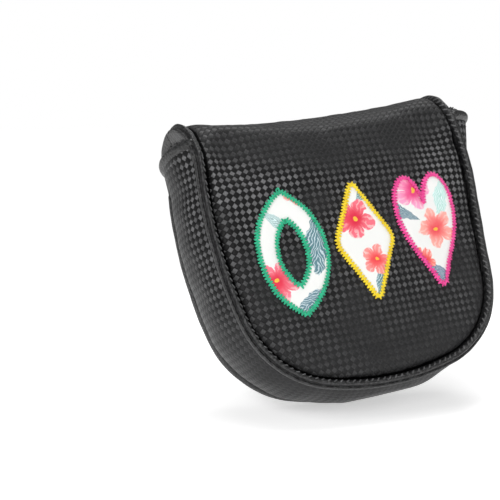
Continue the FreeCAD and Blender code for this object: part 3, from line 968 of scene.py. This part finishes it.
def gusset_grid(name, top, depth, step, rows, folds, reverse):
    line, n, length = seam_frames(top, step)
    q = np.linspace(0, 1, rows)
    px, pz = line[:, 0][:, None], line[:, 1][:, None]
    nx, nz = n[:, 0][:, None], n[:, 1][:, None]
    s = length[:, None]
    wave = np.sin(q * math.pi)[None] ** 1.3
    crease = folds * wave * (0.5 * np.sin(s * 0.21 + 3.0 * q + 1.0) + 0.35 * np.sin(s * 0.47 - 4.0 * q)
                             + 0.3 * np.sin(s * 0.093 + 2.0))
    p = gusset_point(px, pz, nx, nz, q[None], depth, crease)
    if depth == 0:
        p[..., 2] = np.maximum(p[..., 2], 0.25)
    across = run_length(p[len(p) // 2])
    uv = np.stack(np.broadcast_arrays(s, across[None]), -1).reshape(-1, 2)
    m = rows
    faces = [(i * m + j, i * m + j + 1, (i + 1) * m + j + 1, (i + 1) * m + j)
             for i in range(len(line) - 1) for j in range(m - 1)]
    if reverse:
        faces = [f[::-1] for f in faces]
    return piece(name, p.reshape(-1, 3), faces, uv)


def gusset():
    obj = gusset_grid("gusset_skin", HEM_TOP_Z - 0.6, 0.0, 1.6, 40, 0.55, True)
    subdivide(obj, 1)
    finish_piece(obj, WEAVE_STRIP, "pocket", "weave_leather", "gusset_outer", "gusset_foam")
    return obj


# ---- bound edges ----
EDGE_PITCH = 2.5            # one stitch of a bound edge to the next
RIM_PROFILE = (
    (-0.15, -3.4), (-0.25, -0.6), (-0.2, 0.8), (0.1, 1.7), (0.65, 2.15), (1.2, 2.0), (1.55, 1.35),
    (1.8, 0.35), (2.1, 0.75), (2.6, 1.1), (3.05, 0.75), (3.3, 0.0), (3.35, -1.0), (3.2, -3.4),
)


def rim_piece(name, path, out, up, lean, size, skirt):
    """Folded binding sewn over a seam: two soft ridges with a crease between them."""
    c, s = math.cos(lean), math.sin(lean)
    out2, up2 = unit(out * c - up * s), unit(up * c + out * s)
    prof = np.array(RIM_PROFILE) * size
    prof[[0, -1], 1] -= skirt
    verts, faces, uv = sweep(path, out2, up2, prof)
    length = uv[:, 0]
    k = np.tile(np.arange(len(prof)), len(path))
    soft = 0.1 * (np.sin(length * 0.31 + 1.0) + 0.6 * np.sin(length * 0.83 + k * 0.3))
    lift = np.where((k > 1) & (k < 12), 1.0, 0.0)
    verts = verts + np.repeat(up2, len(prof), axis=0) * (soft * lift)[:, None]
    obj = piece(name, verts, faces, uv)
    subdivide(obj, 1)
    return obj, out2, up2


def edge_stitches(name, path, out, up, size):
    """Slanted stitches along the inner face of a bound edge."""
    length = run_length(path)
    marks = np.arange(1.0, length[-1] - 2.0, EDGE_PITCH)

    def at(t, a, b):
        p, o, u = (np.stack([np.interp(t, length, v[:, k]) for k in range(3)], -1)
                   for v in (path, out, up))
        return p + o * a + u * b

    segments = []
    for i, t in enumerate(marks):
        j = 0.12 * math.sin(i * 2.3)
        segments.append((at(t + j, -0.42 * size, 0.35), at(t + 1.5, 0.25 * size, 1.75 * size)))
    return threads(name, segments, 0.30)


def bound_edge(word, side, path, out, up, lean, body, node, size=1.0, skirt=0.0, stitches=1.0):
    """The binding of one edge and its stitches, leaning in by some degrees."""
    obj, out, up = rim_piece(word + "_rim" + side, path, out, up, math.radians(lean), size, skirt)
    finish_piece(obj, BINDING, body, "binding", node)
    obj = edge_stitches(word + "_stitches" + side, path, out, up, stitches)
    finish_piece(obj, BLACK_THREAD, body, "binding")


def front_rim():
    line, n, _ = seam_frames(FRONT_RIM_TOP_Z, 2.0)
    path = wrapped(line[:, 0], line[:, 1], -0.7)
    out = np.stack([n[:, 0], 0 * n[:, 0], n[:, 1]], 1)
    up = wrap_normal(line[:, 1])
    out = unit(out - up * (out * up).sum(1)[:, None])
    bound_edge("front_seam", "", path, out, up, 16, "pocket", "front_seam_binding")


def back_rim():
    line, n, _ = seam_frames(BACK_RIM_TOP_Z, 2.0)
    path = np.stack([line[:, 0], np.full(len(line), BACK_FACE - 0.4), line[:, 1]], 1)
    out = np.stack([n[:, 0], 0 * n[:, 0], n[:, 1]], 1)
    up = np.tile([0.0, 1.0, 0.0], (len(line), 1))
    bound_edge("back_seam", "", path, out, up, 16, "pocket", "back_seam_binding", 0.95)


def crown_rims():
    """Bound edges of the crown's front half, which start over the ends of the front seam's binding."""
    for side, word in ((-1, "heel"), (1, "toe")):
        s = np.linspace(98.0, APEX + 0.7, 18)
        x = side * (side_x(s) + 0.1)
        path = wrapped(x, s, -0.55)
        up = wrap_normal(s)
        out = np.tile([float(side), 0.0, 0.0], (len(s), 1))
        if side > 0:
            path, up, out = path[::-1], up[::-1], out[::-1]
        bound_edge("crown", "_" + word, path, out, up, 10, FRONT_FOLD, "crown_edge_binding_" + word,
                   size=1.08, skirt=3.6, stitches=1.08)


def flap_rim():
    """One binding from the crown's apex round both tongues and the arch to the apex again."""
    line = resample(flap_line(0.1), 1.6)
    t = tangents(line)
    n = np.stack([-t[:, 1], t[:, 0]], 1)
    probe = line + n * 0.6
    n *= np.where(inside(probe, flap_line(0.1)), -1, 1)[:, None]
    n[0], n[-1] = n[1], n[-2]
    s = line[:, 1]
    path = wrapped(line[:, 0], s, -0.55)
    ahead = wrapped(line[:, 0] + n[:, 0] * 0.1, s + n[:, 1] * 0.1, -0.55)
    out = unit(ahead - path)
    up = wrap_normal(s)
    bound_edge("flap", "", path, out, up, 8, BACK_FOLD, "flap_edge_binding", 1.02, 0.7)


# ---- hems of the open edges, and the fleece behind them ----
HEM_STITCH, HEM_PITCH = 1.9, 2.7
HEM_PROFILE = (
    (0.3, -5.6), (0.45, -3.2), (0.6, -2.8), (1.5, -2.3), (1.9, -1.2), (1.4, 0.0), (0.3, 0.55),
    (-1.0, 0.5), (-2.2, -0.1), (-2.8, -1.2), (-2.8, -3.6),
)
SCOOP_PROFILE = (
    (0.8, -2.9), (1.0, -1.9), (1.0, -0.8), (0.55, 0.0), (-0.35, 0.4), (-1.4, 0.35), (-2.2, -0.2),
    (-2.5, -1.0), (-2.5, -2.9),
)
FLEECE_PROFILE = (
    (0.0, -3.5), (0.25, -0.5), (0.1, 1.3), (-0.7, 2.2), (-1.7, 1.9), (-2.3, 0.8), (-2.4, -3.5),
)


def shaggy(obj, size, scale=0.9):
    """Roughens a mesh into short tufts."""
    v = coords(obj)
    n = np.zeros(len(v) * 3, np.float32)
    obj.data.vertices.foreach_get("normal", n)
    n = n.reshape(-1, 3)
    wave = sum(np.sin(v @ rng.normal(size=3) * scale * k + rng.uniform(0, 6)) for k in (1.3, 2.1, 3.3, 4.7))
    set_coords(obj, v + n * (wave * size / 2 + rng.normal(size=len(v)) * size * 0.35)[:, None])


def hem_piece(name, path, out, up, profile, material, slot, nodes=(), fuzz=0.0):
    verts, faces, uv = sweep(path, out, up, profile)
    obj = piece(name, verts, faces, uv)
    subdivide(obj, 2 if fuzz else 1)
    if fuzz:
        shaggy(obj, fuzz)
    finish_piece(obj, material, "pocket", slot, *nodes)
    return obj


def running_stitches(name, path, out, up, a, b):
    """A line of stitches at (a, b), outward and up, from the path."""
    run = run_length(path)
    line = path + out * a + up * b

    def at(t):
        return np.array([np.interp(t, run, line[:, k]) for k in range(3)])

    starts = np.arange(1.0, run[-1] - HEM_STITCH - 0.5, HEM_PITCH)
    return threads(name, [(at(t), at(t + HEM_STITCH)) for t in starts], 0.22)


def hem(word, side, path, out, up, profile, node, stitch_line, fleece_in, trim=0):
    """The hem of an open edge, its stitches, and the edge of the fleece behind it."""
    hem_piece(word + "_hem" + side, path, out, up, profile, BINDING, "binding", (node,))
    obj = running_stitches(word + "_hem_stitches" + side, path, out, up, *stitch_line)
    finish_piece(obj, BLACK_THREAD, "pocket", "binding")
    run = slice(trim, len(path) - trim)
    hem_piece(word + "_fleece_edge" + side, path[run] - out[run] * fleece_in, out[run], up[run],
              FLEECE_PROFILE, FLEECE, "fleece", fuzz=0.45)


def gusset_hems():
    for side, word in ((-1, "heel"), (1, "toe")):
        a = math.asin((HEM_TOP_Z - C_SIDE[1]) / R_SIDE)
        px, pz = C_SIDE[0] + R_SIDE * math.cos(a), HEM_TOP_Z
        q = np.linspace(0.02, 0.98, 26)
        path = gusset_point(side * px, pz, side * math.cos(a), math.sin(a), q, 0.6)
        sag = 1.2 * np.sin(q * math.pi)
        path[:, 2] += (2.2 if side < 0 else 1.4) - 2.6 * q - sag * 0.3       # slopes down to the back
        t = tangents(path)
        up = np.tile([0.0, 0.0, 1.0], (len(q), 1))
        out = unit(np.cross(t, up))
        out *= np.where(out[:, 0] * side < 0, -1, 1)[:, None]
        if side > 0:
            path, up, out = path[::-1], up[::-1], out[::-1]
        hem("gusset", "_" + word, path, out, up, HEM_PROFILE, "gusset_top_binding_" + word,
            (0.5, -4.4), 2.4, trim=2)


def scoop_hem():
    scoop = mirrored(scoop_half(1.4))
    ends = np.array([[55.0, scoop[0, 1]]])
    line = resample(chain(ends, scoop, ends * [-1, 1]), 1.5)
    t = tangents(line)
    up = np.stack([t[:, 1], 0 * t[:, 0], -t[:, 0]], 1)
    path = np.stack([line[:, 0], np.full(len(line), BACK_FACE - 1.0), line[:, 1]], 1)
    out = np.tile([0.0, 1.0, 0.0], (len(line), 1))
    hem("scoop", "", path, out, up, SCOOP_PROFILE, "back_top_binding", (1.0, -2.2), 2.6)


# ---- fleece lining ----
def lining_sheet(name, line, place, normal, body, nodes, spacing=2.6):
    flat, faces = flat_mesh(line, spacing, rings=())
    verts = place(flat[:, 0], flat[:, 1])
    faces = face_up(verts, faces, normal(flat[:, 1]))
    obj = piece(name, verts, faces, flat)
    subdivide(obj, 2)
    shaggy(obj, 0.3)
    finish_piece(obj, FLEECE, body, "fleece", *nodes)
    return obj


def linings():
    lining_sheet("front_fleece", front_line(-FLEECE_INSET), lambda x, s: wrapped(x, s, -5.0),
                 lambda s: -wrap_normal(s), FRONT_FOLD, ("front_lining", "crown_lining"))
    lining_sheet("flap_fleece", flap_line(-1.2), lambda x, s: wrapped(x, s, -3.9),
                 lambda s: -wrap_normal(s), BACK_FOLD, ("flap_lining",))
    top = mirrored(scoop_half(2.0))
    back = chain(top, seam_line(-FLEECE_INSET, top[0, 1])[::-1])
    lining_sheet("back_fleece", back, lambda x, z: np.stack([x, 0 * x + BACK_FLEECE_Y, z], 1),
                 lambda z: np.tile([0.0, -1.0, 0.0], (len(z), 1)), "pocket", ("back_lining",))
    obj = gusset_grid("gusset_fleece", HEM_TOP_Z + 0.5, 3.8, 2.4, 22, 0.3, False)
    subdivide(obj, 2)
    shaggy(obj, 0.3)
    finish_piece(obj, FLEECE, "pocket", "fleece", "gusset_lining")


# ---- emblems ----
ZIGZAG_PITCH = 0.62


def leaf_line(cx, cz, w, h):
    """Pointed oval of two arcs."""
    r = (w * w + h * h) / (4 * w)
    half = math.asin(h / 2 / r)
    right = arc((cx - r + w / 2, cz), r, half, -half, 0.6)
    left = arc((cx + r - w / 2, cz), r, math.pi + half, math.pi - half, 0.6)
    return chain(right, left)[:-1]


def diamond_line(cx, cz, w, h):
    corners = np.array([[cx, cz + h / 2], [cx + w / 2, cz], [cx, cz - h / 2], [cx - w / 2, cz]])
    return rounded(corners, 3.0)


def rounded(corners, r):
    """A polygon with each corner turned on an arc-like curve."""
    out = []
    n = len(corners)
    for i in range(n):
        p, a, b = corners[i], corners[i - 1], corners[(i + 1) % n]
        u, v = unit(a - p), unit(b - p)
        t = np.linspace(0, 1, 8)[:, None]
        out.append((1 - t) ** 2 * (p + u * r) + 2 * t * (1 - t) * p + t ** 2 * (p + v * r))
    return np.vstack(out)


def heart_line(cx, cz, w, h):
    t = np.linspace(0, 2 * math.pi, 80, endpoint=False)
    x = 16 * np.sin(t) ** 3
    y = 13 * np.cos(t) - 5 * np.cos(2 * t) - 2 * np.cos(3 * t) - np.cos(4 * t)
    y = np.maximum(y, -13.8)
    return np.stack([cx + x * w / 32, cz + (y + 0.9) * h / 25.8], 1)


def on_skin(tree, flat):
    """Places points of the front panel's pattern on its padded surface; returns them and the normals."""
    where, normal = [], []
    for x, z in flat:
        hit, n, _, _ = tree.ray_cast(Vector((x * MM, -60 * MM, z * MM)), Vector((0, 1, 0)))
        if hit is None:
            raise RuntimeError("the emblem reaches past the front panel")
        where.append(tuple(hit / MM))
        normal.append(tuple(n if n.y < 0 else -n))
    return np.array(where), np.array(normal)


def joined(points):
    """Segments round a closed run of points."""
    return list(zip(points, np.roll(points, -1, axis=0)))


def zigzag(edge, way, tree):
    """Segments of a dense zigzag over a cloth edge and of the cord along it; way is -1 on an outer edge."""
    loop = resample(edge, 0.2, closed=True)
    n = outward_normals(loop)
    total = len(loop)
    count = int(total * 0.2 / ZIGZAG_PITCH)
    points = []
    for i in range(count):
        j = int(i * total / count) % total
        off_cloth = loop[j] + n[j] * rng.uniform(0.85, 1.25) * -way
        on_cloth = loop[j] + n[j] * rng.uniform(1.05, 1.3) * way
        points.append(off_cloth if i % 2 == 0 else on_cloth)
    spots, normals = on_skin(tree, np.array(points))
    lift = np.where(np.arange(count) % 2 == 0, 0.15, 0.85)[:, None]
    cord, cord_normals = on_skin(tree, resample(edge, 0.9, closed=True))
    return joined(spots + normals * lift) + joined(cord + cord_normals * 0.55)


def emblem(word, line, inner, material, tree):
    """A cloth shape sewn down by a dense zigzag of thread along each of its edges."""
    holes = () if inner is None else (inner,)
    flat, faces = flat_mesh(line, 1.1, rings=(0.5,), holes=holes)
    where, normal = on_skin(tree, flat)
    edges = [line] + list(holes)
    d = np.min([edge_distance(flat, e) for e in edges], axis=0)
    verts = where + normal * (0.25 + 0.45 * smooth(d / 2.5))[:, None]
    faces = face_up(verts, faces, normal)
    cloth = piece("emblem_print_" + word, verts, faces, flat)
    subdivide(cloth, 1)
    finish_piece(cloth, PRINT, "pocket", "printed_cloth", "emblem_cloth_" + word)
    segments = []
    for k, edge in enumerate(edges):
        segments += zigzag(edge, -1 if k == 0 else 1, tree)
    border = threads("emblem_border_thread_" + word, segments, 0.36)
    slot = {"leaf": "thread_green", "diamond": "thread_yellow", "heart": "thread_pink"}[word]
    finish_piece(border, material, "pocket", slot, "emblem_border_" + word)


def emblems(front):
    graph = bpy.context.evaluated_depsgraph_get()
    tree = BVHTree.FromObject(front, graph)
    emblem("leaf", leaf_line(-29.5, 57.0, 27.0, 48.0), leaf_line(-29.5, 57.0, 11.5, 26.0),
           GREEN_THREAD, tree)
    emblem("diamond", diamond_line(0.5, 57.3, 25.0, 48.0), None, YELLOW_THREAD, tree)
    emblem("heart", heart_line(30.0, 57.8, 26.5, 44.0), None, PINK_THREAD, tree)


front = front_cover()
rear_flap()
back_panel()
gusset()
front_rim()
back_rim()
crown_rims()
flap_rim()
gusset_hems()
scoop_hem()
linings()
emblems(front)
for word, node in frame["nodes"].items():
    if "magnet" in word:
        node.data.materials.clear()
        node.data.materials.append(METAL)


# ---- camera, floor and light ----
YAW, PITCH, ROLL = math.radians(22.85), math.radians(-10.96), math.radians(13.27)
AIM = (0.0, 0.0, 58.0)             # point of the cover that the camera's place is told from
ASIDE, BELOW, AWAY = 34.7, 2.0, 454.4
FOCAL = 1136.0 / 500.0             # focal length as a share of the picture's width
FLOOR_VIEW = math.radians(8.0)     # how far the camera looks down on the floor
FLOOR_GAP = 0.2                    # the floor lies so far under the lowest point
FLOOR_REACH = 3000.0


def turned():
    """The camera's right, up and back directions in the row frame."""
    right, up, back = Vector((1, 0, 0)), Vector((0, 0, 1)), Vector((0, -1, 0))
    rows = Matrix.Rotation(ROLL, 3, "Z") @ Matrix.Rotation(PITCH, 3, "X") @ Matrix.Rotation(YAW, 3, "Y")
    return [(right * q[0] + up * q[1] + back * q[2]).normalized() for q in rows]


def camera():
    right, up, back = turned()
    data = bpy.data.cameras.new("camera")
    data.sensor_width = 36.0
    data.lens = 36.0 * FOCAL
    data.clip_start, data.clip_end = 0.01, 20.0
    obj = link("camera", data)
    place = Vector(AIM) - right * ASIDE + up * BELOW + back * AWAY
    turn = Matrix((right, up, back)).transposed().to_4x4()
    obj.matrix_world = Matrix.Translation(place * MM) @ turn
    bpy.context.scene.camera = obj
    return right, up, back


def floor_under(up, back):
    """Pale floor. The cover leans on its bottom edge, so the floor isn't level with the row's z = 0."""
    level = (up * math.cos(FLOOR_VIEW) + back * math.sin(FLOOR_VIEW)).normalized()
    shown = [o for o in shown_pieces() if o.type == "MESH" and not o.hide_render]
    lowest = min(float((coords(o) @ np.array(level)).min()) for o in shown)
    spot = level * (lowest - FLOOR_GAP) * MM
    reach = FLOOR_REACH
    corners = [(-reach, -reach, 0), (reach, -reach, 0), (reach, reach, 0), (-reach, reach, 0)]
    floor = piece("floor", corners, [(0, 1, 2, 3)])
    floor.matrix_world = Matrix.Translation(spot) @ level.to_track_quat("Z", "Y").to_matrix().to_4x4()
    floor.data.materials.append(studio_floor())
    floor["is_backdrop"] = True
    return level


def softbox(name, place, size, power):
    """A rectangular light that faces the cover from a place, told from the point aimed at."""
    data = bpy.data.lights.new(name, "AREA")
    data.shape = "RECTANGLE"
    data.size, data.size_y = size
    data.energy = power
    obj = link(name, data)
    at = Vector(AIM) * MM + place
    obj.matrix_world = Matrix.Translation(at) @ place.to_track_quat("Z", "Y").to_matrix().to_4x4()


LIGHTS = (
    # name, metres to the right, up and towards the viewer, size in metres, watts
    ("overhead", (0.0, 0.95, -0.25), (1.1, 0.6), 6.5),
    ("front", (-0.15, 0.45, 1.1), (0.8, 0.6), 5.4),
    ("key", (-0.5, 0.5, 0.55), (0.35, 0.35), 2.0),
    ("right_strip", (0.85, 0.35, 0.35), (0.25, 0.7), 1.6),
)


def world():
    """White behind the cover, and a dim even light on it."""
    studio = bpy.data.worlds.new("studio")
    studio.use_nodes = True
    tree = studio.node_tree
    tree.nodes.clear()
    seen, dim = tree.nodes.new("ShaderNodeBackground"), tree.nodes.new("ShaderNodeBackground")
    seen.inputs[1].default_value = 1.0
    dim.inputs[1].default_value = 0.2
    seen.inputs[0].default_value = dim.inputs[0].default_value = (1, 1, 1, 1)
    path, both = tree.nodes.new("ShaderNodeLightPath"), tree.nodes.new("ShaderNodeMixShader")
    end = tree.nodes.new("ShaderNodeOutputWorld")
    tree.links.new(path.outputs["Is Camera Ray"], both.inputs[0])
    tree.links.new(dim.outputs[0], both.inputs[1])
    tree.links.new(seen.outputs[0], both.inputs[2])
    tree.links.new(both.outputs[0], end.inputs[0])
    bpy.context.scene.world = studio
    bpy.context.scene.view_settings.view_transform = "Standard"


right, up, back = camera()
level = floor_under(up, back)
ahead = level.cross(right)
for name, (aside, above, near), size, power in LIGHTS:
    softbox(name, right * aside + level * above - ahead * near, size, power)
world()
